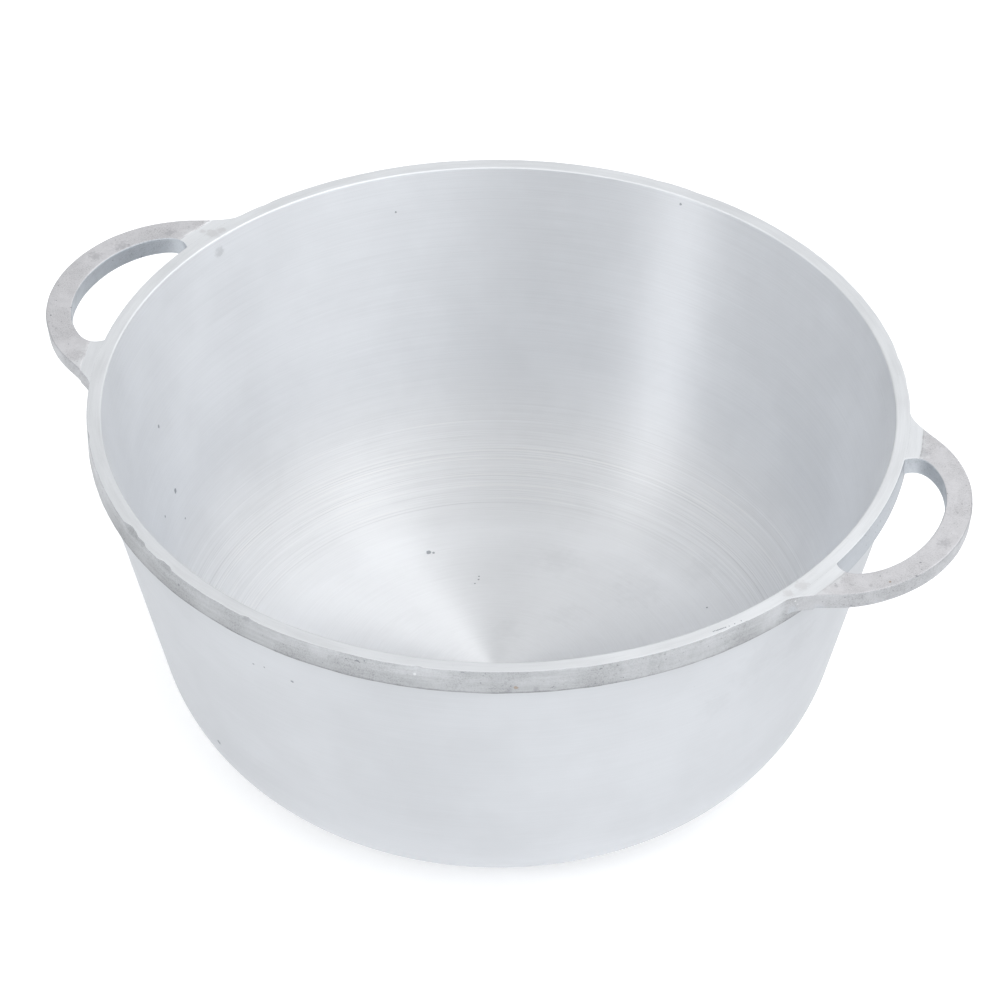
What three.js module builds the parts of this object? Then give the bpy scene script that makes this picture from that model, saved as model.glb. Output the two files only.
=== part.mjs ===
// Cast aluminium cooking pot with a raised rim collar and two flat loop handles.
// Millimetres, +Z up. The origin is the centre of the underside, and +X runs along the line through
// both handles. The real pot is one sand casting: each mesh here is one region of that casting, and
// the regions meet face to face.

import * as THREE from 'three';

// Overall sizes
const POT_HEIGHT = 158;             // underside of the base to the top of the rim
const COLLAR_RADIUS = 170;          // outside of the raised collar, the widest round part
const COLLAR_HEIGHT = 11.3;         // depth of the collar below the top of the rim
const MOUTH_RADIUS = 164;           // inside of the rim
const MOUTH_CHAMFER = 1;            // broken inner edge of the rim
const FLOOR_THICKNESS = 5;

// Wall: a cone below the collar that turns into the base through a large corner
const WALL_THICKNESS = 5.7;         // measured level, from the inside to the outside
const WALL_TAPER = 0.2244;          // radius gained for each millimetre of height
const CORNER_HEIGHT = 44;           // level at which the cone ends and the corner starts
const OUTER_CORNER_REACH = 31.8;    // how far the corner turns in towards the axis, outside
const INNER_CORNER_REACH = 30;      // the same, inside
const CORNER_STEPS = 9;

// Handles: flat bows on the collar, level with the rim, each leaving a finger slot
const HANDLE_THICKNESS = 8;
const BOW_CENTRE = 150;             // centre of the bow's outer ellipse, from the pot's axis
const BOW_REACH = 55.2;             // half axis of the outer ellipse away from the pot
const BOW_HALF_WIDTH = 60;          // half axis of the outer ellipse along the rim
const SLOT_CENTRE = 166;            // centre of the slot's ellipse, from the pot's axis
const SLOT_REACH = 28.1;            // half axis of the slot's ellipse away from the pot
const SLOT_HALF_WIDTH = 41;         // half axis of the slot's ellipse along the rim
const BOW_FLARE_START = 66;         // degrees on the outer ellipse where the root starts to flare
const ROOT_SPREAD = 22.8;           // degrees around the pot's axis where the flare meets the collar
const SLOT_FILLET_START = 66;       // degrees on the slot's ellipse where its rounded end starts
const SLOT_SPREAD = 12.3;           // degrees around the pot's axis where the slot meets the collar
const SLOT_LEAN = 38;               // degrees by which its end leans out from square to the collar
const COLLAR_GAP = 0.3;             // clearance between a handle's root and the faceted collar
const OUTLINE_STEPS = 12;           // straight steps in each curve of a handle's outline

const ROUND_SEGMENTS = 96;          // facets around the pot

const COLLAR_BOTTOM = POT_HEIGHT - COLLAR_HEIGHT;

function castAluminium(colour, roughness) {
  return new THREE.MeshStandardMaterial({ color: colour, roughness, metalness: 0.9 });
}

const turnedFinish = { colour: 0xccd1d5, roughness: 0.35 };
const groundFinish = { colour: 0xb4b8bb, roughness: 0.6 };
const sandFinish = { colour: 0xc6c4c1, roughness: 0.65 };

// Radius of the tapered inside wall at a level, and of the outside wall at the same level
function innerRadius(level) {
  return MOUTH_RADIUS - WALL_TAPER * (POT_HEIGHT - level);
}

function outerRadius(level) {
  return innerRadius(level) + WALL_THICKNESS;
}

// The turn from the tapered wall into a flat bottom: a quarter ellipse leaned over by the wall's own
// taper, so that it leaves the wall and reaches the bottom without a kink. It starts at the wall.
function cornerProfile(wallRadius, reach, bottom) {
  const drop = CORNER_HEIGHT - bottom;
  const points = [];
  for (let step = 0; step <= CORNER_STEPS; step += 1) {
    const turn = (step / CORNER_STEPS) * (Math.PI / 2);
    const lower = drop * Math.sin(turn);
    const radius = wallRadius - reach * (1 - Math.cos(turn)) - WALL_TAPER * lower;
    points.push(new THREE.Vector2(radius, CORNER_HEIGHT - lower));
  }
  return points;
}

// A profile of (radius, level) points turned once around the pot's axis
function turnedMesh(name, profile, finish) {
  const geometry = new THREE.LatheGeometry(profile, ROUND_SEGMENTS);
  geometry.rotateX(Math.PI / 2);
  const mesh = new THREE.Mesh(geometry, castAluminium(finish.colour, finish.roughness));
  mesh.name = name;
  return mesh;
}

// Flat floor and the rounded corner around it, up to the level where the wall is straight
function makeBase() {
  const inside = cornerProfile(innerRadius(CORNER_HEIGHT), INNER_CORNER_REACH, FLOOR_THICKNESS);
  const outside = cornerProfile(outerRadius(CORNER_HEIGHT), OUTER_CORNER_REACH, 0);
  const profile = [
    new THREE.Vector2(0, 0),
    ...outside.reverse(),
    ...inside,
    new THREE.Vector2(0, FLOOR_THICKNESS),
  ];
  return turnedMesh('pot_base', profile, turnedFinish);
}

// Tapered wall between the corner and the collar
function makeWall() {
  const foot = new THREE.Vector2(innerRadius(CORNER_HEIGHT), CORNER_HEIGHT);
  const profile = [
    foot,
    new THREE.Vector2(outerRadius(CORNER_HEIGHT), CORNER_HEIGHT),
    new THREE.Vector2(outerRadius(COLLAR_BOTTOM), COLLAR_BOTTOM),
    new THREE.Vector2(innerRadius(COLLAR_BOTTOM), COLLAR_BOTTOM),
    foot,
  ];
  return turnedMesh('pot_wall', profile, turnedFinish);
}

// Raised collar: its upright outer band stands proud of the wall, and its flat top is the rim
function makeCollar() {
  const foot = new THREE.Vector2(innerRadius(COLLAR_BOTTOM), COLLAR_BOTTOM);
  const profile = [
    foot,
    new THREE.Vector2(COLLAR_RADIUS, COLLAR_BOTTOM),
    new THREE.Vector2(COLLAR_RADIUS, POT_HEIGHT),
    new THREE.Vector2(MOUTH_RADIUS + MOUTH_CHAMFER, POT_HEIGHT),
    new THREE.Vector2(innerRadius(POT_HEIGHT - MOUTH_CHAMFER), POT_HEIGHT - MOUTH_CHAMFER),
    foot,
  ];
  return turnedMesh('rim_collar', profile, groundFinish);
}

function onEllipse(centre, reach, halfWidth, angle) {
  return {
    point: new THREE.Vector2(centre + reach * Math.cos(angle), halfWidth * Math.sin(angle)),
    along: new THREE.Vector2(-reach * Math.sin(angle), halfWidth * Math.cos(angle)),
  };
}

// Where the straight lines through two points of an outline, along its two directions, cross
function crossing(first, second) {
  const apart = second.point.clone().sub(first.point);
  const share = apart.cross(second.along) / first.along.cross(second.along);
  return first.point.clone().addScaledVector(first.along, share);
}

// Outline of one bow, seen from above with the pot's axis at (0, 0). It runs along the collar on
// one root, out around the bow's outer edge, along the collar on the other root, and back around
// the slot. The flares run smoothly from the bow into the collar, and the slot's ends are round.
function bowOutline() {
  const rootRadius = COLLAR_RADIUS + COLLAR_GAP;
  const flare = THREE.MathUtils.degToRad(BOW_FLARE_START);
  const rootSpread = THREE.MathUtils.degToRad(ROOT_SPREAD);
  const fillet = THREE.MathUtils.degToRad(SLOT_FILLET_START);
  const slotSpread = THREE.MathUtils.degToRad(SLOT_SPREAD);

  const bowEnd = onEllipse(BOW_CENTRE, BOW_REACH, BOW_HALF_WIDTH, flare);
  const bowRoot = onEllipse(0, rootRadius, rootRadius, rootSpread);
  const bowCorner = crossing(bowEnd, bowRoot);
  const slotEnd = onEllipse(SLOT_CENTRE, SLOT_REACH, SLOT_HALF_WIDTH, fillet);
  const slotRoot = onEllipse(0, rootRadius, rootRadius, slotSpread);
  const lean = THREE.MathUtils.degToRad(SLOT_LEAN);
  const slotStart = {
    point: slotRoot.point,
    along: slotRoot.point.clone().rotateAround(new THREE.Vector2(), lean),
  };
  const slotCorner = crossing(slotEnd, slotStart);

  const outline = new THREE.Shape();
  outline.moveTo(bowRoot.point.x, -bowRoot.point.y);
  outline.quadraticCurveTo(bowCorner.x, -bowCorner.y, bowEnd.point.x, -bowEnd.point.y);
  outline.absellipse(BOW_CENTRE, 0, BOW_REACH, BOW_HALF_WIDTH, -flare, flare, false, 0);
  outline.quadraticCurveTo(bowCorner.x, bowCorner.y, bowRoot.point.x, bowRoot.point.y);
  outline.absarc(0, 0, rootRadius, rootSpread, slotSpread, true);
  outline.quadraticCurveTo(slotCorner.x, slotCorner.y, slotEnd.point.x, slotEnd.point.y);
  outline.absellipse(SLOT_CENTRE, 0, SLOT_REACH, SLOT_HALF_WIDTH, fillet, -fillet, true, 0);
  outline.quadraticCurveTo(slotCorner.x, -slotCorner.y, slotRoot.point.x, -slotRoot.point.y);
  outline.absarc(0, 0, rootRadius, -slotSpread, -rootSpread, true);
  return outline;
}

// One handle, extruded from its outline and turned about the pot's axis to its own side
function makeHandle(name, side) {
  const geometry = new THREE.ExtrudeGeometry(bowOutline(), {
    depth: HANDLE_THICKNESS,
    bevelEnabled: false,
    curveSegments: OUTLINE_STEPS,
  });
  const mesh = new THREE.Mesh(geometry, castAluminium(sandFinish.colour, sandFinish.roughness));
  mesh.name = name;
  mesh.position.z = POT_HEIGHT - HANDLE_THICKNESS;
  mesh.rotation.z = side;
  return mesh;
}

const pot = new THREE.Group();
pot.add(makeBase());
pot.add(makeWall());
pot.add(makeCollar());
pot.add(makeHandle('handle_right', 0));
pot.add(makeHandle('handle_left', Math.PI));

export default pot;
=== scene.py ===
import math

import bmesh
import bpy
from mathutils import Matrix, Vector, noise


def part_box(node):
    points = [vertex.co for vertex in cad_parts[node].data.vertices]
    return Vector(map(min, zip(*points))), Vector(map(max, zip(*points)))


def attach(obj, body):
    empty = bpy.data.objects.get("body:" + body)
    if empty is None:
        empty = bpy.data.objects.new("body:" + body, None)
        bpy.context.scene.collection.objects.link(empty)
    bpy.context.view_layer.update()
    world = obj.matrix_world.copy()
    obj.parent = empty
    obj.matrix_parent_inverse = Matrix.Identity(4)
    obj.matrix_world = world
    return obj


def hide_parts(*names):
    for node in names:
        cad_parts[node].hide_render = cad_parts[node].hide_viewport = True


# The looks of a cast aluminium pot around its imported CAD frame. Metres, +Z up, +X through both handles.
# The pot is one casting. Its five pieces touch, and their patterns run on from piece to piece.

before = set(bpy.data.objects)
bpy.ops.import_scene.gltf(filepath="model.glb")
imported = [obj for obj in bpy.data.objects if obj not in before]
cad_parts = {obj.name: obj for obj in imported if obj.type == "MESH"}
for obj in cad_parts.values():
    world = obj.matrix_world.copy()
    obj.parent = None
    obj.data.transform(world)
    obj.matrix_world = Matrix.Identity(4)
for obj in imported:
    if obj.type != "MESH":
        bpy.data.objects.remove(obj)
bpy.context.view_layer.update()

MM = 0.001

# Places that come from the CAD nodes
collar_low, collar_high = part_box("rim_collar")
wall_low, wall_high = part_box("pot_wall")
base_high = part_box("pot_base")[1]
handle_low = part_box("handle_right")[0]

RIM_TOP = collar_high.z
BAND_FOOT = collar_low.z
BAND_RADIUS = collar_high.x
WALL_FOOT = wall_low.z
TAPER = (wall_high.x - base_high.x) / (BAND_FOOT - WALL_FOOT)
HANDLE_FOOT = handle_low.z

# Sizes of the casting that the nodes' boxes don't give
WALL_THICKNESS = 5.7 * MM
FLOOR_THICKNESS = 5 * MM
OUTER_CORNER_REACH = 31.8 * MM
INNER_CORNER_REACH = 30 * MM
MOUTH_RADIUS = 164 * MM

# Handle outlines, seen from above
BOW_CENTRE = 150 * MM
BOW_REACH = 55.2 * MM
BOW_HALF_WIDTH = 60 * MM
SLOT_CENTRE = 166 * MM
SLOT_REACH = 28.1 * MM
SLOT_HALF_WIDTH = 41 * MM
BOW_FLARE_START = math.radians(66)
ROOT_SPREAD = math.radians(22.8)
SLOT_FILLET_START = math.radians(66)
SLOT_SPREAD = math.radians(12.3)
SLOT_LEAN = math.radians(38)

# Marks of making
MACHINED_REACH = 175.5 * MM     # how far out the facing cut on the rim runs over the handles' roots
ROOT_REACH = 179.5 * MM         # how far out a handle's root is made of finer rows
CAST_STEP = 0.2 * MM            # how far the cast top of a handle stands above that cut

# How finely the meshes are made
TURNED_SEGMENTS = 288
COLLAR_SEGMENTS = 960
GROOVED_SPACING = 0.72 * MM     # between points of a turned profile inside the pot
SHARP_ANGLE = math.radians(38)
ON_AXIS = 1e-9                  # a profile point nearer than this to the axis is a single vertex


# ---------------------------------------------------------------- helpers

def smooth_step(low, high, value):
    share = min(max((value - low) / (high - low), 0.0), 1.0)
    return share * share * (3 - 2 * share)


def lumps(x, y, z, size, seed):
    """Smooth noise from about -1 to 1, with lumps of this size."""
    return noise.noise(Vector((x / size + seed * 7.31, y / size + seed * 3.77, z / size + seed * 1.93)))


def outer_radius(level):
    return wall_high.x - TAPER * (BAND_FOOT - level)


def inner_radius(level):
    return outer_radius(level) - WALL_THICKNESS


def corner(wall_radius, reach, bottom, steps=300):
    """Points (radius, level) of the turn from the tapered wall down into a flat bottom."""
    drop = WALL_FOOT - bottom
    points = []
    for step in range(steps + 1):
        turn = step / steps * math.pi / 2
        lower = drop * math.sin(turn)
        radius = wall_radius - reach * (1 - math.cos(turn)) - TAPER * lower
        points.append((radius, WALL_FOOT - lower))
    return points


def even_points(line, spacing):
    """The same line with its points about this far apart."""
    lengths = [0.0]
    for first, second in zip(line, line[1:]):
        lengths.append(lengths[-1] + math.dist(first, second))
    count = max(1, round(lengths[-1] / spacing))
    points = []
    index = 0
    for step in range(count + 1):
        target = lengths[-1] * step / count
        while index < len(line) - 2 and lengths[index + 1] < target:
            index += 1
        span = lengths[index + 1] - lengths[index]
        share = 0 if span == 0 else min((target - lengths[index]) / span, 1)
        points.append(tuple(a + (b - a) * share for a, b in zip(line[index], line[index + 1])))
    return points


def cut_grooves(line, side, height):
    """Moves each point of a (radius, level) line square to the line by height(radius, level)."""
    moved = []
    for index, (radius, level) in enumerate(line):
        before = line[max(index - 1, 0)]
        after = line[min(index + 1, len(line) - 1)]
        along = Vector((after[0] - before[0], after[1] - before[1])).normalized()
        lift = height(radius, level) * side
        moved.append((radius - along.y * lift, level + along.x * lift))
    return moved


def new_object(name, vertices, faces, material_of_face, materials):
    mesh = bpy.data.meshes.new(name)
    mesh.from_pydata(vertices, [], faces)
    for material in materials:
        mesh.materials.append(material)
    mesh.polygons.foreach_set("material_index", material_of_face)
    work = bmesh.new()
    work.from_mesh(mesh)
    bmesh.ops.recalc_face_normals(work, faces=work.faces)
    work.to_mesh(mesh)
    work.free()
    mesh.shade_smooth()
    mesh.set_sharp_from_angle(angle=SHARP_ANGLE)
    # The pot's axis is the middle of every piece's texture space, so brushing runs round that axis
    mesh.use_auto_texspace = False
    mesh.texspace_location = (0, 0, RIM_TOP / 2)
    mesh.texspace_size = (BAND_RADIUS, BAND_RADIUS, RIM_TOP / 2)
    made = bpy.data.objects.new(name, mesh)
    bpy.context.scene.collection.objects.link(made)
    return made


def turned_piece(name, profile, kinds, materials, segments, shape=None):
    """A closed (radius, level) profile turned once round the pot's axis. kinds holds one material number
    for each side of the profile. shape(radius, level, angle) may move a point."""
    vertices = []
    rows = []
    on_axis = [radius < ON_AXIS for radius, level in profile]
    for (radius, level), single in zip(profile, on_axis):
        rows.append(len(vertices))
        if single:
            vertices.append((0, 0, level))
            continue
        for segment in range(segments):
            angle = 2 * math.pi * segment / segments
            r, z = (radius, level) if shape is None else shape(radius, level, angle)
            vertices.append((r * math.cos(angle), r * math.sin(angle), z))
    faces = []
    face_kinds = []
    for index in range(len(profile)):
        after = (index + 1) % len(profile)
        if on_axis[index] and on_axis[after]:
            continue
        for segment in range(segments):
            following = (segment + 1) % segments
            corners = [rows[index] + (0 if on_axis[index] else segment)]
            if not on_axis[index]:
                corners.append(rows[index] + following)
            corners.append(rows[after] + (0 if on_axis[after] else following))
            if not on_axis[after]:
                corners.append(rows[after] + segment)
            faces.append(corners)
            face_kinds.append(kinds[index])
    return new_object(name, vertices, faces, face_kinds, materials)


# ---------------------------------------------------------------- materials

SPECK_GREY = (0.34, 0.36, 0.39, 1)
DEEP_MARK = (0.2, 0.22, 0.25, 1)
TAN = (0.50, 0.48, 0.48, 1)
PIT_GREY = (0.17, 0.18, 0.20, 1)
STAIN_GREY = (0.18, 0.18, 0.20, 1)
BARE_METAL = (0.80, 0.81, 0.82, 1)
RUST_BROWN = (0.36, 0.28, 0.21, 1)
UNTINTED = (1, 1, 1, 1)

# Zones of the turned inside, as pairs of (radius + level) between which a pattern comes in or fades out
PALE_FLOOR_END = (150 * MM, 225 * MM)
RINGS_START = (112 * MM, 126 * MM)
RINGS_END = (196 * MM, 155 * MM)

# Zones of the cast collar. The painted light on the band inside a slot fades out between these distances from
# its middle.
SLOT_SHADE_END = (37 * MM, 34 * MM)
FOOT_SHADOW_HEIGHT = 1.6 * MM


def at(azimuth, radius, level):
    """The place at this azimuth in degrees, radius and level in millimetres."""
    angle = math.radians(azimuth)
    return (radius * MM * math.cos(angle), radius * MM * math.sin(angle), level * MM)


class Tree:
    """A material's nodes, made by short calls."""

    def __init__(self, name):
        self.material = bpy.data.materials.new(name)
        self.material.use_nodes = True
        self.nodes = self.material.node_tree.nodes
        self.links = self.material.node_tree.links
        self.nodes.clear()
        self.position = self.put("ShaderNodeTexCoord").outputs["Object"]
        apart = self.put("ShaderNodeSeparateXYZ")
        self.links.new(self.position, apart.inputs[0])
        self.x, self.y, self.z = apart.outputs
        across = self.calc("MULTIPLY", self.x, self.x)
        squares = self.calc("ADD", across, self.calc("MULTIPLY", self.y, self.y))
        self.radius = self.calc("SQRT", self.calc("MAXIMUM", squares, 1e-10))

    def put(self, kind, **settings):
        node = self.nodes.new(kind)
        for key, value in settings.items():
            setattr(node, key, value)
        return node

    def feed(self, socket, value):
        if isinstance(value, bpy.types.NodeSocket):
            self.links.new(value, socket)
        else:
            socket.default_value = value

    def calc(self, operation, *values):
        node = self.put("ShaderNodeMath", operation=operation)
        for socket, value in zip(node.inputs, values):
            self.feed(socket, value)
        return node.outputs[0]

    def noise(self, vector, scale=1.0, detail=2.0, roughness=0.5):
        node = self.put("ShaderNodeTexNoise")
        self.feed(node.inputs["Vector"], vector)
        self.feed(node.inputs["Scale"], scale)
        self.feed(node.inputs["Detail"], detail)
        self.feed(node.inputs["Roughness"], roughness)
        return node.outputs[0]

    def rings(self, around, across, detail=2.0, roughness=0.6):
        """Noise drawn out around the axis: around lumps a turn, and this many a metre along the profile."""
        joined = self.put("ShaderNodeCombineXYZ")
        self.feed(joined.inputs[0], self.calc("MULTIPLY", self.calc("DIVIDE", self.x, self.radius), around))
        self.feed(joined.inputs[1], self.calc("MULTIPLY", self.calc("DIVIDE", self.y, self.radius), around))
        self.feed(joined.inputs[2], self.calc("MULTIPLY", self.along(), across))
        return self.noise(joined.outputs[0], 1.0, detail, roughness)

    def along(self):
        return self.calc("ADD", self.radius, self.z)

    def span(self, value, low, high, to_low=0.0, to_high=1.0):
        node = self.put("ShaderNodeMapRange", interpolation_type="SMOOTHSTEP")
        for socket, item in zip(node.inputs, (value, low, high, to_low, to_high)):
            self.feed(socket, item)
        return node.outputs[0]

    def mix(self, share, first, second):
        node = self.put("ShaderNodeMix", data_type="RGBA")
        self.feed(node.inputs[0], share)
        self.feed(node.inputs[6], first)
        self.feed(node.inputs[7], second)
        return node.outputs[2]

    def shade(self, tone, share):
        """The tone made darker or lighter by a factor."""
        node = self.put("ShaderNodeVectorMath", operation="SCALE")
        self.feed(node.inputs[0], tone)
        self.feed(node.inputs["Scale"], share)
        return node.outputs[0]

    def bump(self, height, distance, normal=None):
        node = self.put("ShaderNodeBump")
        self.feed(node.inputs["Height"], height)
        node.inputs["Distance"].default_value = distance
        if normal is not None:
            self.feed(node.inputs["Normal"], normal)
        return node.outputs[0]

    def marks(self, places, share, ragged=0.7, grain=900.0, softness=0.15):
        """This share on round, ragged marks at these (azimuth, radius, level, size), and 0 elsewhere."""
        nearest = None
        for azimuth, radius, level, size in places:
            node = self.put("ShaderNodeVectorMath", operation="DISTANCE")
            self.feed(node.inputs[0], self.position)
            node.inputs[1].default_value = at(azimuth, radius, level)
            apart = self.calc("DIVIDE", node.outputs["Value"], size * MM)
            nearest = apart if nearest is None else self.calc("MINIMUM", nearest, apart)
        lumpy = self.calc("SUBTRACT", self.noise(self.position, grain, 2.0, 0.6), 0.5)
        uneven = self.calc("MULTIPLY", lumpy, ragged * 2)
        return self.span(self.calc("ADD", nearest, uneven), 1 + softness, 1 - softness, 0.0, share)

    def finish(self, colour, roughness, normal, **constants):
        shader = self.put("ShaderNodeBsdfPrincipled")
        self.feed(shader.inputs["Base Color"], colour)
        self.feed(shader.inputs["Roughness"], roughness)
        self.feed(shader.inputs["Normal"], normal)
        shader.inputs["Metallic"].default_value = 1.0
        for socket, value in constants.items():
            shader.inputs[socket.replace("_", " ")].default_value = value
        if "Anisotropic" in constants:
            tangent = self.put("ShaderNodeTangent", direction_type="RADIAL", axis="Z")
            self.links.new(tangent.outputs[0], shader.inputs["Tangent"])
        output = self.put("ShaderNodeOutputMaterial")
        self.links.new(shader.outputs[0], output.inputs["Surface"])
        return self.material


def opaque(colour, factor=1.0):
    return [part * factor for part in colour] + [1.0]


def turned_material(
    name, colour, roughness, anisotropy, brushing, floor_colour=None, rings=0.0, blotches=0.03, scuffs=0.0,
    dark_marks=(), smudges=(), stains=(), tan_marks=(),
):
    """Aluminium with the fine circular grooves of a lathe tool, rubbed down with a scouring pad.
    floor_colour is that of the pot's floor and corner, where it is paler than the wall. rings is the
    contrast of the deep feed marks in the corner of the pot, and scuffs that of the rim's wear."""
    tree = Tree(name)
    middle = tree.rings(2.2, 1300)
    fine = tree.rings(5.0, 4200, 2.0, 0.65)
    clouds = tree.noise(tree.position, 26.0, 3.0, 0.55)

    normal = tree.bump(tree.rings(0.7, 420), 0.012 * MM * brushing)
    normal = tree.bump(middle, 0.02 * MM * brushing, normal)
    normal = tree.bump(fine, 0.006 * MM * brushing, normal)

    duller = opaque(colour, 1 - blotches)
    brighter = opaque(colour, 1 + blotches * 0.5)
    tone = tree.mix(tree.span(clouds, 0.32, 0.68), duller, brighter)
    tone = tree.shade(tone, tree.span(middle, 0.3, 0.7, 1 - 0.03 * brushing, 1 + 0.02 * brushing))
    tone = tree.shade(tone, tree.span(fine, 0.3, 0.7, 1 - 0.03 * brushing, 1 + 0.02 * brushing))
    along = tree.along()
    if floor_colour:
        lift = [floor / wall for floor, wall in zip(floor_colour, colour)]
        tint = tree.mix(tree.span(along, *PALE_FLOOR_END), opaque(lift), UNTINTED)
        product = tree.put("ShaderNodeVectorMath", operation="MULTIPLY")
        tree.feed(product.inputs[0], tone)
        tree.feed(product.inputs[1], tint)
        tone = product.outputs[0]
    if rings:
        zone = tree.calc("MULTIPLY", tree.span(along, *RINGS_START), tree.span(along, *RINGS_END))
        groove = tree.rings(0.12, 980, 1.0, 0.5)
        lines = tree.calc("SUBTRACT", tree.span(groove, 0.57, 0.65), tree.span(groove, 0.43, 0.35))
        lines = tree.calc("MULTIPLY", lines, tree.span(tree.rings(0.2, 150, 1.0, 0.5), 0.40, 0.60, 0.4, 1.0))
        lines = tree.calc("MULTIPLY", lines, tree.span(tree.rings(1.4, 300, 2.0, 0.6), 0.36, 0.62, 0.45, 1.0))
        feed_marks = tree.span(tree.rings(2.5, 1500, 2.0, 0.7), 0.34, 0.66, -0.3, 0.25)
        pattern = tree.calc("MULTIPLY", tree.calc("ADD", lines, feed_marks), rings)
        pattern = tree.calc("MULTIPLY", pattern, zone)
        tone = tree.shade(tone, tree.calc("ADD", pattern, 1.0))
        normal = tree.bump(pattern, 0.12 * MM, normal)
    if scuffs:
        worn = tree.rings(5.0, 330, 3.0, 0.7)
        tone = tree.shade(tone, tree.span(worn, 0.34, 0.60, 1 - scuffs, 1.0))
        scratched = tree.noise(tree.position, 420.0, 4.0, 0.75)
        tone = tree.shade(tone, tree.span(scratched, 0.62, 0.74, 1.0, 1 - scuffs))
    specks = tree.noise(tree.position, 620.0, 3.0, 0.6)
    tone = tree.mix(tree.span(specks, 0.76, 0.82, 0.0, 0.35), tone, SPECK_GREY)
    if smudges:
        patchy = tree.marks(smudges, share=0.05, ragged=1.6, grain=260.0, softness=0.9)
        tone = tree.mix(patchy, tone, opaque(colour, 0.3))
    if stains:
        patchy = tree.marks(stains, share=0.26, ragged=1.0, grain=700.0, softness=0.6)
        tone = tree.mix(patchy, tone, opaque(colour, 0.4))
    if tan_marks:
        patchy = tree.marks(tan_marks, share=0.32, ragged=0.9, grain=500.0, softness=0.5)
        tone = tree.mix(patchy, tone, TAN)
    if dark_marks:
        tone = tree.mix(tree.marks(dark_marks, share=0.65), tone, DEEP_MARK)

    uneven = tree.calc("MULTIPLY", tree.calc("SUBTRACT", tree.rings(9.0, 1500), 0.5), 0.08)
    cloudy = tree.calc("MULTIPLY", tree.calc("SUBTRACT", clouds, 0.5), 0.08)
    spread = tree.calc("ADD", tree.calc("ADD", uneven, cloudy), roughness)
    return tree.finish(tone, spread, normal, Anisotropic=anisotropy, Anisotropic_Rotation=0.25)


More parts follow.
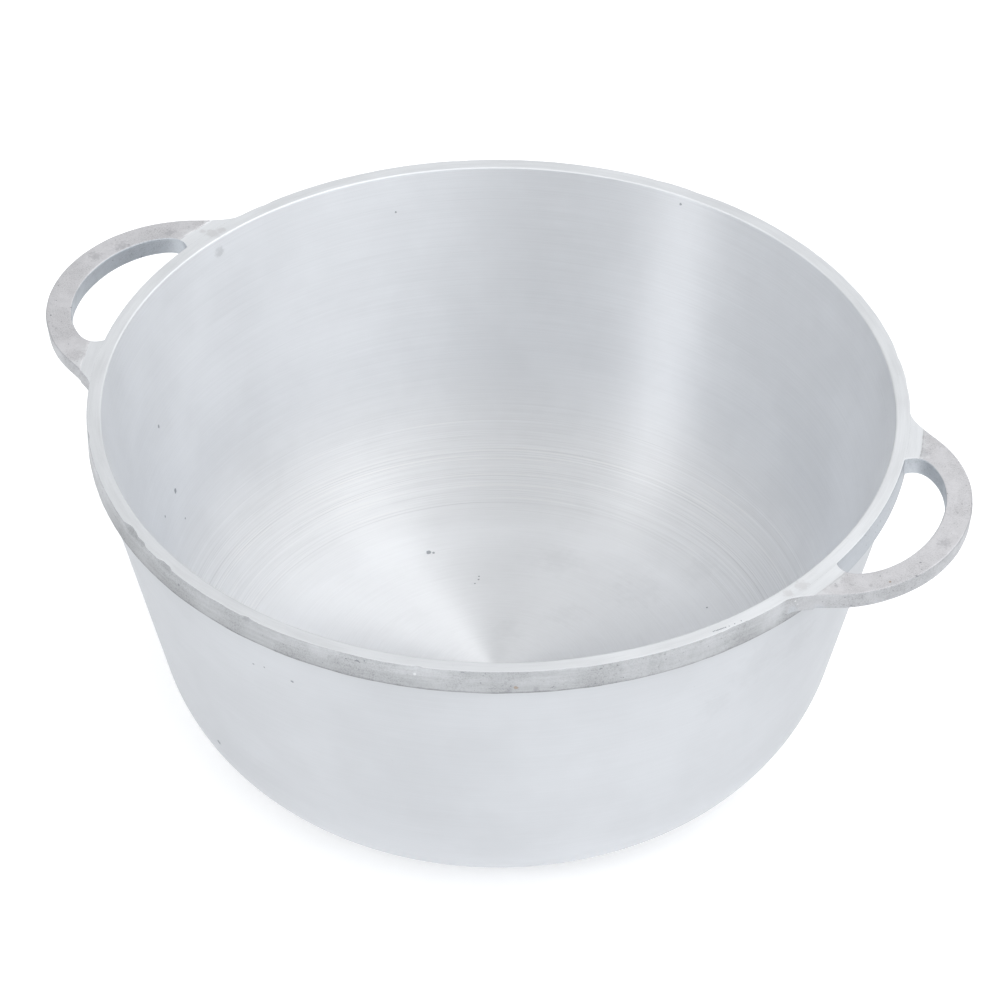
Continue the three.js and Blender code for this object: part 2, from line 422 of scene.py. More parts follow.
def cast_material(
    name, colour, roughness, grain, mottle, streaks=0.0, foot_shadow=0.0, slot_light_colour=None, faced_colour=None,
    stains=(), rust=(), pale_marks=(), smooth_sheen_marks=(), smooth_sheen_colour=None,
):
    """Aluminium as it leaves a sand mould: grainy and mottled, with a few pits. streaks is the contrast of
    grinding marks that run round the pot. foot_shadow is the strength of a painted shadow along the lowest
    edge of the collar's band, and turns on a painted shade that makes the band darker towards its foot.
    slot_light_colour is a painted tone of the light on the band inside the finger slots, bluer and a little
    lighter than elsewhere. faced_colour is that of the high spots that the facing cut just touched, beyond
    its edge. smooth_sheen_colour is that of the smooth patches, with the light they reflect painted into it."""
    tree = Tree(name)
    clouds = tree.noise(tree.position, 48.0, 4.0, 0.6)
    patches = tree.noise(tree.position, 230.0, 4.0, 0.65)
    sand = tree.noise(tree.position, 1700.0, 3.0, 0.7)
    pits = tree.noise(tree.position, 620.0, 2.0, 0.5)
    pitted = tree.span(tree.calc("ADD", pits, tree.calc("MULTIPLY", clouds, 0.25)), 0.43, 0.38)

    normal = tree.bump(patches, 0.22 * MM * grain)
    normal = tree.bump(sand, 0.09 * MM * grain, normal)
    normal = tree.bump(tree.calc("SUBTRACT", 1.0, pitted), 0.12 * MM * grain, normal)

    darker = opaque(colour, 1 - mottle)
    lighter = opaque(colour, 1 + mottle * 0.6)
    tone = tree.mix(tree.span(clouds, 0.35, 0.62), darker, lighter)
    tone = tree.shade(tone, tree.span(patches, 0.38, 0.62, 1 + mottle * 0.4, 1 - mottle * 0.7))
    grainy = tree.calc("MULTIPLY", tree.span(sand, 0.48, 0.64), tree.span(clouds, 0.60, 0.42, 0.25, 1.0))
    tone = tree.shade(tone, tree.calc("SUBTRACT", 1.0, tree.calc("MULTIPLY", grainy, mottle * 4)))
    if streaks:
        fine = tree.rings(9.0, 900, 3.0, 0.7)
        tone = tree.shade(tone, tree.span(fine, 0.36, 0.64, 1 - streaks, 1 + streaks * 0.6))
        middle = tree.rings(3.0, 260, 2.0, 0.6)
        tone = tree.shade(tone, tree.span(middle, 0.36, 0.62, 1 - streaks, 1.0))
        broad = tree.rings(2.0, 60, 2.0, 0.6)
        tone = tree.shade(tone, tree.span(broad, 0.38, 0.60, 1 - streaks * 2, 1.0))
    if foot_shadow:
        # Painted shadow along the band's lowest edge.
        low = tree.calc("ADD", tree.z, tree.calc("MULTIPLY", tree.calc("SUBTRACT", patches, 0.5), 3 * MM))
        shadow_top = BAND_FOOT + FOOT_SHADOW_HEIGHT
        tone = tree.shade(tone, tree.span(low, BAND_FOOT, shadow_top, 1 - foot_shadow, 1.0))
        # Painted shade: the band darker towards its foot and lighter towards its top.
        tone = tree.shade(tone, tree.span(low, BAND_FOOT + 1 * MM, RIM_TOP - 1 * MM, 0.92, 1.05))
    if slot_light_colour:
        # Painted light: inside the finger slots the band takes a bluer, lighter tone that stands in for the
        # light it gets there.
        slot_light_share = tree.span(tree.calc("ABSOLUTE", tree.y), *SLOT_SHADE_END, 0.0, 0.75)
        tone = tree.mix(slot_light_share, tone, opaque(slot_light_colour))
    # Real smooth patches, with the light they reflect painted into their colour: a painted highlight on the
    # band and a painted bluish reflection on the handles' sides.
    if smooth_sheen_marks:
        patchy = tree.marks(smooth_sheen_marks, share=0.42, ragged=1.1, grain=350.0, softness=0.9)
        tone = tree.mix(patchy, tone, opaque(smooth_sheen_colour))
    if faced_colour:
        ragged = tree.calc("MULTIPLY", tree.calc("SUBTRACT", patches, 0.5), 16 * MM)
        beyond = tree.calc("ADD", tree.radius, ragged)
        touched = tree.span(beyond, MACHINED_REACH + 3 * MM, MACHINED_REACH - 1 * MM, 0.0, 0.8)
        tone = tree.mix(touched, tone, opaque(faced_colour))
    tone = tree.mix(tree.calc("MULTIPLY", pitted, 0.6), tone, PIT_GREY)
    if stains:
        patchy = tree.marks(stains, share=0.26, ragged=1.9, grain=900.0, softness=0.9)
        tone = tree.mix(patchy, tone, STAIN_GREY)
    if pale_marks:
        tone = tree.mix(tree.marks(pale_marks, share=0.5), tone, BARE_METAL)
    if rust:
        tone = tree.mix(tree.marks(rust, share=0.7), tone, RUST_BROWN)
    uneven = tree.calc("MULTIPLY", tree.calc("SUBTRACT", sand, 0.5), 0.2)
    return tree.finish(tone, tree.calc("ADD", uneven, roughness), normal)


# Small marks on the pot: (azimuth in degrees, radius, level, size in millimetres)
INSIDE_SPECKS = (
    (-172, 152.5, 106, 0.8), (-171, 145, 74, 1.1), (-164.5, 145, 73, 0.6), (-171.5, 142, 58.5, 0.6),
    (136, 88, 5, 1.1), (134.7, 87, 5, 0.6), (132, 160, 141, 0.5), (86.4, 163.3, 154, 0.55),
    (123, 64.5, 5, 0.45), (124.8, 62, 5, 0.4), (122.6, 66.6, 5, 0.35),
    (84.4, 104.5, 5, 0.4), (51.6, 102.9, 5, 0.45),
)
INSIDE_STAINS = ((163.4, 163, 152, 2.2),)
FLOOR_STAINS = ((96, 82, 5, 7), (68, 85, 5, 9), (80, 50, 5, 6), (105, 30, 5, 5), (62, 112, 9, 6))
OUTSIDE_SMUDGES = ((-15.6, 161, 119, 8), (-25, 161.5, 122, 9), (-31, 160, 108, 6))
OUTSIDE_SPECKS = (
    (-117.6, 144, 44.5, 1.1), (-94.4, 162.7, 127, 0.7), (-99, 163, 128.5, 0.5), (-101, 163, 127, 0.5),
)
RIM_TAN = (
    (-19, 168, 158, 2.6), (-21.5, 167.5, 158, 1.8),
    (162.8, 168.4, 158, 2.7), (161.4, 167.2, 158, 2.0), (163.4, 172.5, 158, 1.3),
)
RIM_SCRATCH = tuple((-34.5 + 0.23 * step, 168.0 + 0.04 * step, 158, 0.34) for step in range(9))
RIM_SPECKS = ((-32.1, 168.5, 158, 0.3), (-31.2, 168.5, 158, 0.35), (-30.1, 168.5, 158, 0.3))
BAND_RUST = ((-62.1, 170, 150, 0.8),)
BAND_SPECKS = ((-63, 170, 148.8, 1.0), (-59.5, 170, 148.8, 1.0), (-100, 170, 157, 1.3), (-128, 170, 150, 1.2))
BAND_NICKS = ((-75.4, 170, 154.2, 0.6),)
# Smooth patches on the band, with a painted highlight in their colour.
BAND_SMOOTH_HIGHLIGHTS = ((-46, 170, 153, 8), (-40.5, 170, 153, 9), (-35, 170, 154, 8), (-25, 170, 153, 5))
HANDLE_NICKS = ((-21.4, 171.3, 156, 0.45), (-21.1, 171.8, 154, 0.45), (-20.9, 172.2, 152.5, 0.4))
# Smooth patches near the right handle's root, with a painted bluish reflection in their colour.
HANDLE_SMOOTH_REFLECTIONS = ((-21.8, 171, 151, 2), (-18.5, 176, 151, 2))
HANDLE_STAINS = (
    (172.8, 192.8, 158, 3.2), (176.3, 198.6, 158, 2.4), (166.5, 183, 158, 2.0), (-1.8, 200, 158, 2.2),
    (14.2, 177.2, 158, 2.2), (10, 182.5, 158, 1.4), (-168, 186, 151, 4.0), (-165, 181, 153, 3.0),
    (-12, 207, 152, 2.4), (-13.2, 188.5, 158, 0.7), (-14.5, 182.4, 158, 0.7), (-16, 178, 158, 0.6),
)
HANDLE_RUST = ((-11.4, 204, 152.5, 0.7), (-11.2, 193.1, 158, 0.6))

turned_inside = turned_material(
    "turned aluminium, inside", (0.88, 0.895, 0.92), roughness=0.54, anisotropy=0.95, brushing=0.5,
    floor_colour=(0.955, 0.96, 0.97), rings=0.11, blotches=0.03,
    dark_marks=INSIDE_SPECKS, smudges=FLOOR_STAINS, stains=INSIDE_STAINS,
)
# Painted shade: the same turned aluminium as the inside, with a darker colour that stands in for the outside
# wall's shade.
turned_outside_shaded = turned_material(
    "turned aluminium, outside, painted shade", (0.618, 0.631, 0.653), roughness=0.62, anisotropy=0.75, brushing=0.35,
    dark_marks=OUTSIDE_SPECKS, smudges=OUTSIDE_SMUDGES,
)
faced_rim = turned_material(
    "faced aluminium, rim", (0.80, 0.81, 0.825), roughness=0.54, anisotropy=0.35, brushing=0.3,
    scuffs=0.05, dark_marks=RIM_SCRATCH + RIM_SPECKS, tan_marks=RIM_TAN,
)
band_metal = cast_material(
    "cast aluminium, band", (0.505, 0.515, 0.53), roughness=0.58, grain=0.6, mottle=0.05,
    streaks=0.05, foot_shadow=0.35, slot_light_colour=(0.505, 0.53, 0.565), stains=BAND_SPECKS, rust=BAND_RUST,
    pale_marks=BAND_NICKS, smooth_sheen_marks=BAND_SMOOTH_HIGHLIGHTS, smooth_sheen_colour=(0.61, 0.62, 0.64),
)
handle_metal = cast_material(
    "cast aluminium, handle tops", (0.67, 0.662, 0.675), roughness=0.62, grain=0.8, mottle=0.045,
    faced_colour=(0.74, 0.745, 0.755), stains=HANDLE_STAINS, rust=HANDLE_RUST,
)
# Painted shade: the same cast metal as the handle tops, with a darker colour that stands in for the shade on
# the handles' sides.
handle_side_shaded = cast_material(
    "cast aluminium, handle sides, painted shade", (0.50, 0.505, 0.52), roughness=0.62, grain=1.2, mottle=0.06,
    stains=HANDLE_STAINS, rust=HANDLE_RUST, pale_marks=HANDLE_NICKS,
    smooth_sheen_marks=HANDLE_SMOOTH_REFLECTIONS, smooth_sheen_colour=(0.52, 0.55, 0.59),
)
# Painted shade: the same cast metal as the handle tops, darker and bluer, standing in for the shade inside
# the finger slots.
slot_metal_shaded = cast_material(
    "cast aluminium, finger slots, painted shade", (0.55, 0.575, 0.605), roughness=0.60, grain=0.5, mottle=0.04,
)


# ---------------------------------------------------------------- base and wall

FLOOR_RINGS = (49, 84, 111, 117, 124, 133, 135.5, 139)


def inside_grooves(radius, level):
    """Height of the turned surface inside the pot: chatter, feed marks, and some deeper rings."""
    along = radius + level
    height = 0.006 * MM * noise.noise(Vector((along / (7.0 * MM), 0.37, 0.0)))
    height += 0.004 * MM * noise.noise(Vector((along / (2.6 * MM), 5.37, 0.0)))
    calm = 0.35 + 0.65 * smooth_step(60 * MM, 105 * MM, radius) * (1 - smooth_step(25 * MM, 60 * MM, level))
    for ring in FLOOR_RINGS:
        apart = (radius - ring * MM) / (0.9 * MM)
        if abs(apart) < 4 and level < 40 * MM:
            height -= 0.015 * MM * math.exp(-apart * apart)
    return height * calm


def outside_grooves(radius, level):
    return 0.010 * MM * noise.noise(Vector(((radius + level) / (5.0 * MM), 2.61, 0.0)))


def base_profile():
    outside = corner(outer_radius(WALL_FOOT), OUTER_CORNER_REACH, 0.0)
    inside = corner(inner_radius(WALL_FOOT), INNER_CORNER_REACH, FLOOR_THICKNESS)
    under = even_points([(0.0, 0.0)] + outside[::-1], 1.9 * MM)
    floor = even_points(inside + [(0.0, FLOOR_THICKNESS)], GROOVED_SPACING)
    grooved = [floor[0]] + cut_grooves(floor, -1, inside_grooves)[1:-1] + [floor[-1]]
    kinds = [1] * (len(under) - 1) + [0] * (len(grooved) + 1)
    return under + grooved, kinds


def wall_profile():
    foot_in = (inner_radius(WALL_FOOT), WALL_FOOT)
    foot_out = (outer_radius(WALL_FOOT), WALL_FOOT)
    head_out = (outer_radius(BAND_FOOT), BAND_FOOT)
    head_in = (inner_radius(BAND_FOOT), BAND_FOOT)
    outside = even_points([foot_out, head_out], 1.6 * MM)
    inside = even_points([head_in, foot_in], GROOVED_SPACING)
    outside = [outside[0]] + cut_grooves(outside, 1, outside_grooves)[1:-1] + [outside[-1]]
    inside = [inside[0]] + cut_grooves(inside, -1, inside_grooves)[1:-1] + [inside[-1]]
    kinds = [1] * len(outside) + [0] * len(inside)
    return outside + inside, kinds


profile, kinds = base_profile()
base = turned_piece("pot_base_turned", profile, kinds, [turned_inside, turned_outside_shaded], TURNED_SEGMENTS)
profile, kinds = wall_profile()
wall = turned_piece("pot_wall_turned", profile, kinds, [turned_inside, turned_outside_shaded], TURNED_SEGMENTS)


# ---------------------------------------------------------------- collar

EDGE = 0.25 * MM                # rounding where the facing cut leaves the band
CHIP_REACH = 4.4 * MM           # how far in from the band the top gives way to a chip
ROOT_MARGIN = 0.003             # radians past a handle's root where the collar's edge is still square
# Chips out of the band's top edge: (azimuth in degrees, half width in degrees, depth in millimetres)
CHIPS = ((-124.4, 1.6, 1.2), (-121.5, 1.0, 0.7), (-115.6, 1.3, 1.1), (-100, 0.6, 0.6), (-75, 0.5, 0.5))


def from_handle(angle):
    """Angle from the middle of the nearer handle, in radians."""
    return min(abs(math.remainder(angle, 2 * math.pi)), abs(math.remainder(angle - math.pi, 2 * math.pi)))


INNER_LIP = 0.7 * MM             # rounding of the rim's inner edge
LOWER_EDGE = 0.6 * MM            # rounding of the band's lower edge


def collar_profile():
    """The collar's profile as (radius, level), and each side's material: 0 turned, 1 faced, 2 cast."""
    foot = (inner_radius(BAND_FOOT), BAND_FOOT)
    inside = even_points([foot, (inner_radius(RIM_TOP - INNER_LIP), RIM_TOP - INNER_LIP)], 0.8 * MM)
    broken = []
    for step in range(1, 6):
        turn = step / 6 * math.pi / 2
        level = RIM_TOP - INNER_LIP + INNER_LIP * math.sin(turn)
        broken.append((inner_radius(level) + INNER_LIP * (1 - math.cos(turn)), level))
    top = even_points([(MOUTH_RADIUS + INNER_LIP, RIM_TOP), (BAND_RADIUS - EDGE, RIM_TOP)], 0.45 * MM)
    edge = [(BAND_RADIUS - EDGE * (1 - math.sin(a)), RIM_TOP - EDGE * (1 - math.cos(a)))
            for a in (math.pi / 6, math.pi / 3, math.pi / 2)]
    band = even_points([edge[-1], (BAND_RADIUS, BAND_FOOT + LOWER_EDGE)], 0.6 * MM)[1:]
    lower = [(BAND_RADIUS - LOWER_EDGE * (1 - math.cos(a)), BAND_FOOT + LOWER_EDGE * (1 - math.sin(a)))
             for a in (math.pi / 6, math.pi / 3, math.pi / 2)]
    under = [
        (BAND_RADIUS - 1.4 * MM, BAND_FOOT),
        (BAND_RADIUS - 2.1 * MM, BAND_FOOT - 0.2 * MM),
        (BAND_RADIUS - 2.7 * MM, BAND_FOOT - 0.7 * MM),
        (outer_radius(BAND_FOOT - 1.6 * MM), BAND_FOOT - 1.6 * MM),
    ]
    points = inside + broken + top + edge + band + lower + under
    faced = len(broken) + len(top)
    kinds = [0] * len(inside) + [1] * faced + [2] * (len(points) - len(inside) - faced)
    return points, kinds


def collar_shape(radius, level, angle):
    """Unevenness of the cast band, and of the edge where the facing cut meets it."""
    if radius < BAND_RADIUS - CHIP_REACH:
        return radius, level
    apart = from_handle(angle)
    under_root = SLOT_SPREAD - ROOT_MARGIN < apart < ROOT_SPREAD + ROOT_MARGIN
    on_edge = level > RIM_TOP - 1.5 * EDGE and radius > BAND_RADIUS - 0.9 * EDGE
    if under_root and on_edge:
        # At a handle's root the edge is square, so that the two tops run on without a line
        below = RIM_TOP - level
        return BAND_RADIUS - 0.02 * MM * (below < 0.2 * EDGE), RIM_TOP - 0.02 * MM * (below > 0.9 * EDGE)
    free = smooth_step(ROOT_SPREAD + math.radians(0.5), ROOT_SPREAD + math.radians(4), apart)
    x, y = BAND_RADIUS * math.cos(angle), BAND_RADIUS * math.sin(angle)
    outward = smooth_step(BAND_RADIUS - 2.6 * MM, BAND_RADIUS - EDGE, radius)
    near_top = smooth_step(RIM_TOP - 2.2 * MM, RIM_TOP - EDGE, level)
    waves = 0.13 * lumps(x, y, level, 14 * MM, 1) + 0.06 * lumps(x, y, level, 4 * MM, 2)
    radius += waves * MM * free * outward
    yielding = smooth_step(BAND_RADIUS - CHIP_REACH, BAND_RADIUS - EDGE, radius)
    bite = 0.8 * max(0.0, lumps(x, y, 0, 11 * MM, 3) + 0.3 * lumps(x, y, 0, 2.5 * MM, 4) - 0.1)
    for azimuth, half_width, depth in CHIPS:
        aside = math.degrees(math.remainder(angle - math.radians(azimuth), 2 * math.pi)) / half_width
        bite += depth * math.exp(-aside ** 4) * (1 + 0.3 * lumps(x, y, 0, 3 * MM, 6))
    radius -= bite * MM * free * yielding * near_top
    if level < BAND_FOOT + 1.5 * MM:
        level += 0.2 * MM * lumps(x, y, 0, 9 * MM, 5) * free * outward
    return radius, level


profile, kinds = collar_profile()
collar_metals = [turned_inside, faced_rim, band_metal]
collar = turned_piece("rim_collar_cast", profile, kinds, collar_metals, COLLAR_SEGMENTS, collar_shape)


# ---------------------------------------------------------------- handles

ACROSS = 24                     # faces across a handle's top, and across its underside


def on_ellipse(centre, reach, half_width, angle):
    point = Vector((centre + reach * math.cos(angle), half_width * math.sin(angle)))
    along = Vector((-reach * math.sin(angle), half_width * math.cos(angle)))
    return point, along


def crossing(first, first_along, second, second_along):
    apart = second - first
    share = apart.cross(second_along) / first_along.cross(second_along)
    return first + first_along * share


def half_outline(centre, reach, half_width, start, root, root_along):
    """Half an outline: from its root on the collar, through a curve, and round an ellipse to its tip."""
    end, end_along = on_ellipse(centre, reach, half_width, start)
    corner_point = crossing(end, end_along, root, root_along)
    line = []
    for step in range(200):
        share = step / 200
        line.append(root * (1 - share) ** 2 + corner_point * 2 * share * (1 - share) + end * share ** 2)
    for step in range(401):
        line.append(on_ellipse(centre, reach, half_width, start * (1 - step / 400))[0])
    return line


def polyline_length(line):
    return sum(math.dist(a, b) for a, b in zip(line, line[1:]))


def cut_at(line, radius):
    """The line's part inside this distance from the pot's axis, and the part outside it."""
    for index, (first, second) in enumerate(zip(line, line[1:])):
        if second.length >= radius:
            share = (radius - first.length) / (second.length - first.length)
            point = first.lerp(second, min(max(share, 0), 1))
            return line[:index + 1] + [point], [point] + line[index + 1:]


def in_step(first, second, spacing):
    """Points along two lines, the same number on each, about this far apart on the longer one."""
    count = math.ceil(max(polyline_length(first), polyline_length(second)) / spacing)
    firsts = even_points([tuple(p) for p in first], polyline_length(first) / count)
    seconds = even_points([tuple(p) for p in second], polyline_length(second) / count)
    return [(Vector(a), Vector(b)) for a, b in zip(firsts, seconds)]


def handle_sections():
    """Pairs (bow point, slot point) from a root to the middle of the bow, and the number of the pair on the
    facing cut's edge and of the one where the root ends."""
    bow_root, bow_along = on_ellipse(0, BAND_RADIUS, BAND_RADIUS, ROOT_SPREAD)
    slot_root = on_ellipse(0, BAND_RADIUS, BAND_RADIUS, SLOT_SPREAD)[0]
    bow = half_outline(BOW_CENTRE, BOW_REACH, BOW_HALF_WIDTH, BOW_FLARE_START, bow_root, bow_along)
    slot_along = Matrix.Rotation(SLOT_LEAN, 2) @ slot_root
    slot = half_outline(SLOT_CENTRE, SLOT_REACH, SLOT_HALF_WIDTH, SLOT_FILLET_START, slot_root, slot_along)
    bow_faced, bow_rest = cut_at(bow, MACHINED_REACH)
    slot_faced, slot_rest = cut_at(slot, MACHINED_REACH)
    bow_root_part, bow_free = cut_at(bow_rest, ROOT_REACH)
    slot_root_part, slot_free = cut_at(slot_rest, ROOT_REACH)
    faced = in_step(bow_faced, slot_faced, 0.6 * MM)
    rooted = in_step(bow_root_part, slot_root_part, 0.5 * MM)
    free = in_step(bow_free, slot_free, 0.9 * MM)
    pairs = faced + rooted[1:] + free[1:]
    return pairs, len(faced) - 1, len(faced) + len(rooted) - 2


def quarter(steps):
    """Angles that divide a quarter turn, without its start."""
    return [math.pi / 2 * step / steps for step in range(1, steps + 1)]


def handle(name, turn, seed):
    """One loop handle, turned this far round the pot's axis. The seed is that of its cast skin. A row is
    a closed ring of points across the bow, and rows are counted from the nearer root."""
    half, cut_row, root_row = handle_sections()
    mirrored = [(Vector((b.x, -b.y)), Vector((s.x, -s.y))) for b, s in half]
    sections = mirrored + half[-2::-1]
    last = len(sections) - 1
    foot = HANDLE_FOOT
    vertices = []
    starts = []
    parts = []
    for index, (bow_point, slot_point) in enumerate(sections):
        before = sections[max(index - 1, 0)]
        after = sections[min(index + 1, last)]
        bow_along = (after[0] - before[0]).normalized()
        slot_along = (after[1] - before[1]).normalized()
        bow_out = Vector((bow_along.y, -bow_along.x))
        slot_out = Vector((-slot_along.y, slot_along.x))
        row = min(index, last - index)
        arc_share = 1 - smooth_step(root_row, root_row + 16, row)
        cast = smooth_step(cut_row, cut_row + 2.5, row)
        rough = smooth_step(2, 12, row)
        cut_shift = max(0.0, 1 - abs(row - cut_row) / 6)
        top = RIM_TOP + CAST_STEP * cast
        top_edge = (0.15 + 0.5 * cast) * MM
        slot_edge = (0.2 + 0.4 * cast) * MM
        foot_edge = (0.5 + 1.2 * cast) * MM * smooth_step(0, 5, row) + 0.05 * MM
        slot_foot_edge = 0.7 * MM
        draft = 0.6 * MM * smooth_step(0, 8, row)
        kinds_here = []
        starts.append(len(vertices))

        def place(kind, point, level, outward, amount, shift=0.0):
            """Adds a vertex, moved by the casting's unevenness, and never inside the collar."""
            x, y = point
            lump = 0.22 * lumps(x, y, level, 17 * MM, seed) + 0.07 * lumps(x, y, level, 4 * MM, seed + 1)
            lump *= MM * amount
            if outward is None:
                level += lump if level > RIM_TOP - 1 * MM else -lump
            else:
                x += outward.x * lump
                y += outward.y * lump
            reach = math.hypot(x, y)
            ragged = 0.6 * lumps(x, y, 0, 6 * MM, seed + 2) + 0.35 * lumps(x, y, 0, 1.8 * MM, seed + 3)
            new_reach = reach + ragged * MM * shift
            if new_reach < BAND_RADIUS or row == 0:
                new_reach = BAND_RADIUS
            x *= new_reach / reach
            y *= new_reach / reach
            vertices.append((
                x * math.cos(turn) - y * math.sin(turn), x * math.sin(turn) + y * math.cos(turn), level,
            ))
            kinds_here.append(kind)

        def between(share, bow_inset, slot_inset):
            start = bow_point - bow_out * bow_inset
            end = slot_point - slot_out * slot_inset
            straight = start.lerp(end, share)
            way = math.atan2(start.y, start.x) * (1 - share) + math.atan2(end.y, end.x) * share
            length = start.length * (1 - share) + end.length * share
            return straight.lerp(Vector((math.cos(way), math.sin(way))) * length, arc_share)

        for step in range(ACROSS + 1):
            share = step / ACROSS
            shift = cut_shift * math.sin(math.pi * share) ** 0.5
            place("top", between(share, top_edge, slot_edge), top, None, rough * cast, shift)
        for a in quarter(3):
            inset = slot_edge * (1 - math.sin(a))
            level = top - slot_edge * (1 - math.cos(a))
            place("slot", slot_point - slot_out * inset, level, slot_out, rough * 0.6)
        for share in (0.2, 0.4, 0.6, 0.8):
            level = (top - slot_edge) * (1 - share) + (foot + slot_foot_edge) * share
            place("slot", slot_point, level, slot_out, rough * 0.6)
        for a in quarter(3)[::-1]:
            inset = slot_foot_edge * (1 - math.sin(a))
            level = foot + slot_foot_edge * (1 - math.cos(a))
            place("slot", slot_point - slot_out * inset, level, slot_out, rough * 0.6)
        for step in range(ACROSS + 1):
            place("side", between(1 - step / ACROSS, foot_edge + draft, slot_foot_edge), foot, None, rough)
        for a in quarter(4):
            inset = draft + foot_edge * (1 - math.sin(a))
            place("side", bow_point - bow_out * inset, foot + foot_edge * (1 - math.cos(a)), bow_out, rough)
        for share in (0.2, 0.4, 0.6, 0.8):
            level = (foot + foot_edge) * (1 - share) + (top - top_edge) * share
            place("side", bow_point - bow_out * draft * (1 - share), level, bow_out, rough)
        for a in quarter(3)[::-1]:
            inset = top_edge * (1 - math.sin(a))
            place("side", bow_point - bow_out * inset, top - top_edge * (1 - math.cos(a)), bow_out, rough)
        parts.append(kinds_here)
    ring = len(parts[0])
    numbers = {"faced": 0, "top": 1, "side": 2, "slot": 3}
    faces = []
    face_kinds = []
    for index in range(last):
        faced = min(index, last - 1 - index) < cut_row
        for step in range(ring):
            following = (step + 1) % ring
            faces.append((
                starts[index] + step, starts[index] + following,
                starts[index + 1] + following, starts[index + 1] + step,
            ))
            kind = parts[index][step]
            if parts[index][following] == "top":
                kind = "top"
            if kind == "top" and faced:
                kind = "faced"
            face_kinds.append(numbers[kind])
    for start in (starts[0], starts[-1]):
        faces.append([start + step for step in range(ring)])
        face_kinds.append(numbers["side"])
    return new_object(name, vertices, faces, face_kinds, [faced_rim, handle_metal, handle_side_shaded, slot_metal_shaded])


right = handle("handle_right_cast", turn=0.0, seed=11)
left = handle("handle_left_cast", turn=math.pi, seed=31)


# ---------------------------------------------------------------- bodies and nodes

for piece, node, slot in (
    (base, "pot_base", "turned_aluminium"),
    (wall, "pot_wall", "turned_aluminium"),
    (collar, "rim_collar", "ground_cast_aluminium"),
    (right, "handle_right", "as_cast_aluminium"),
    (left, "handle_left", "as_cast_aluminium"),
):
    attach(piece, "root")
    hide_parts(node)


# ---------------------------------------------------------------- floor, light and camera

def glowing_material(name, colour, roughness, glow):
    """A pale sheet that glows a little, as a light table does."""
    tree = Tree(name)
    shader = tree.put("ShaderNodeBsdfPrincipled")
    shader.inputs["Base Color"].default_value = colour
    shader.inputs["Roughness"].default_value = roughness
    shader.inputs["Emission Color"].default_value = (1, 1, 1, 1)
    shader.inputs["Emission Strength"].default_value = glow
    output = tree.put("ShaderNodeOutputMaterial")
    tree.links.new(shader.outputs[0], output.inputs["Surface"])
    return tree.material


FLOOR_HALF = 6.0
FLOOR_LEVEL = -0.05 * MM        # just below the pot, so that the two surfaces don't share a plane

floor_mesh = bpy.data.meshes.new("floor")
floor_mesh.from_pydata(
    [(x * FLOOR_HALF, y * FLOOR_HALF, FLOOR_LEVEL) for x, y in ((-1, -1), (1, -1), (1, 1), (-1, 1))],
    [], [(0, 1, 2, 3)],
)
floor_mesh.materials.append(glowing_material("pale floor", (0.8, 0.8, 0.8, 1), roughness=0.9, glow=0.35))
floor_sheet = bpy.data.objects.new("floor", floor_mesh)
bpy.context.scene.collection.objects.link(floor_sheet)

CAMERA_AZIMUTH = 25.4           # degrees round from straight in front, towards +X
CAMERA_ELEVATION = 39.6
CAMERA_DISTANCE = 2.006
CAMERA_AIM = Vector((0.0007, 0.0004, 0.1037))
CAMERA_ROLL = 0.302
CAMERA_LENS = 171.64


def bearing(azimuth, elevation):
    """Unit vector from the pot towards a place at this azimuth and elevation, in degrees."""
    a = math.radians(azimuth)
    e = math.radians(elevation)
    return Vector((math.sin(a) * math.cos(e), -math.cos(a) * math.cos(e), math.sin(e)))


def aimed(obj, target, direction, distance, roll=0.0):
    obj.location = target + direction * distance
    facing = direction.to_track_quat("Z", "Y").to_matrix().to_4x4()
    obj.rotation_euler = (facing @ Matrix.Rotation(math.radians(roll), 4, "Z")).to_euler()
    bpy.context.scene.collection.objects.link(obj)


camera_data = bpy.data.cameras.new("camera")
camera_data.lens = CAMERA_LENS
camera = bpy.data.objects.new("camera", camera_data)
aimed(camera, CAMERA_AIM, bearing(CAMERA_AZIMUTH, CAMERA_ELEVATION), CAMERA_DISTANCE, CAMERA_ROLL)
bpy.context.scene.camera = camera


LIGHT_AIM = Vector((0, 0, 0.1))
LIGHT_DISTANCE = 2.6


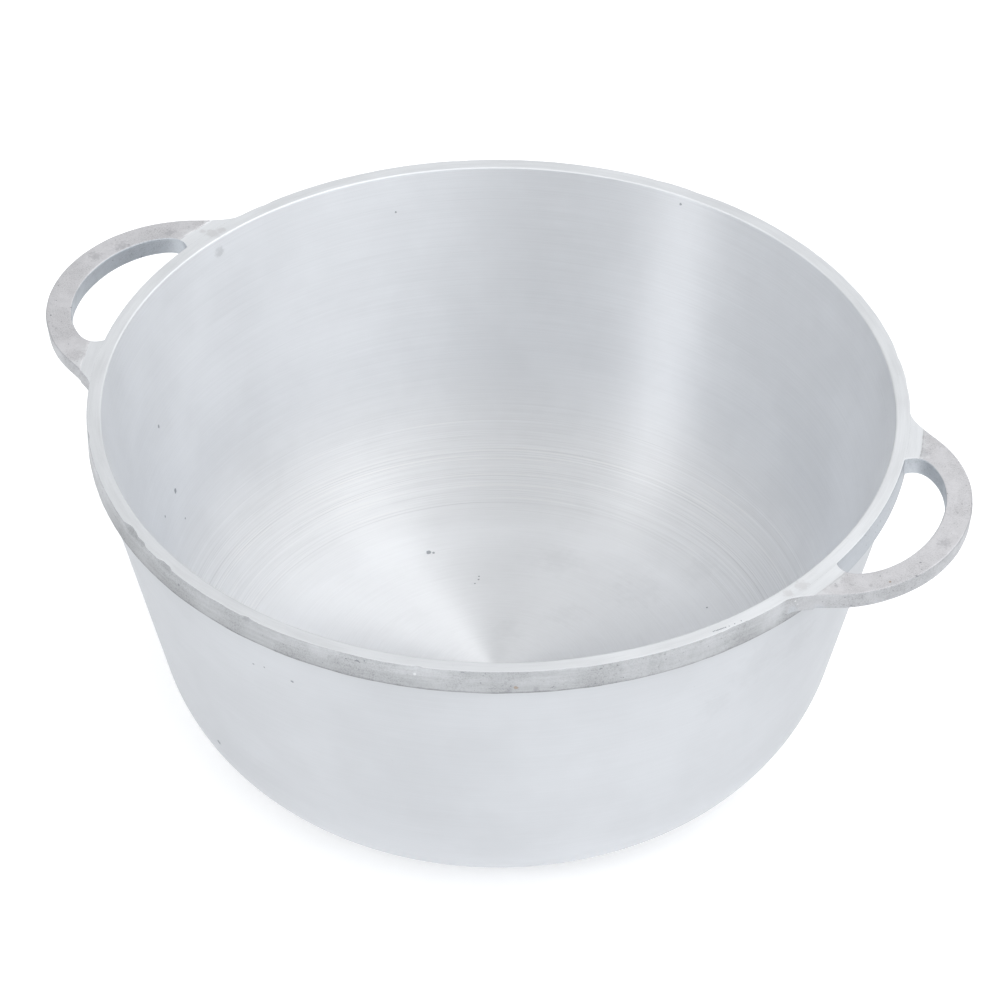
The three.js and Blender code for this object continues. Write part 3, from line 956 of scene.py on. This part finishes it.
def softbox(name, azimuth, elevation, size, power):
    data = bpy.data.lights.new(name, "AREA")
    data.shape = "DISK"
    data.size = size
    data.energy = power
    light = bpy.data.objects.new(name, data)
    aimed(light, LIGHT_AIM, bearing(azimuth, elevation), LIGHT_DISTANCE)


softbox("softbox_right", CAMERA_AZIMUTH + 73, 55, size=1.1, power=4.8)
softbox("softbox_left", CAMERA_AZIMUTH - 56, 27, size=0.7, power=6.3)
softbox("softbox_back", CAMERA_AZIMUTH + 141, 47, size=1.1, power=3.7)
softbox("softbox_far_right", CAMERA_AZIMUTH + 108, 42, size=1.1, power=3)


DAYLIGHT = (0.97, 0.985, 1.0, 1)


def studio_world(name, panels):
    """A dark studio with large soft panels, each given by its azimuth, elevation and strength."""
    made = bpy.data.worlds.new(name)
    made.use_nodes = True
    nodes = made.node_tree.nodes
    links = made.node_tree.links
    direction = nodes.new("ShaderNodeTexCoord").outputs["Generated"]
    total = None
    for azimuth, elevation, strength in panels:
        facing = nodes.new("ShaderNodeVectorMath")
        facing.operation = "DOT_PRODUCT"
        facing.inputs[1].default_value = bearing(azimuth, elevation)
        links.new(direction, facing.inputs[0])
        panel = nodes.new("ShaderNodeMapRange")
        panel.interpolation_type = "SMOOTHSTEP"
        panel.inputs["From Min"].default_value = 0.5
        panel.inputs["To Max"].default_value = strength
        links.new(facing.outputs["Value"], panel.inputs["Value"])
        if total is None:
            total = panel.outputs[0]
            continue
        together = nodes.new("ShaderNodeMath")
        links.new(total, together.inputs[0])
        links.new(panel.outputs[0], together.inputs[1])
        total = together.outputs[0]
    nodes["Background"].inputs["Color"].default_value = DAYLIGHT
    links.new(total, nodes["Background"].inputs["Strength"])
    return made


bpy.context.scene.world = studio_world("studio", (
    (CAMERA_AZIMUTH + 90, 45, 0.82),
    (CAMERA_AZIMUTH + 130, 45, 0.26),
    (CAMERA_AZIMUTH - 90, 45, 1.15),
    (CAMERA_AZIMUTH + 180, 20, 0.62),
    (CAMERA_AZIMUTH, 20, 1.15),
    (CAMERA_AZIMUTH + 45, 20, 0.72),
))
bpy.context.scene.view_settings.view_transform = "Standard"
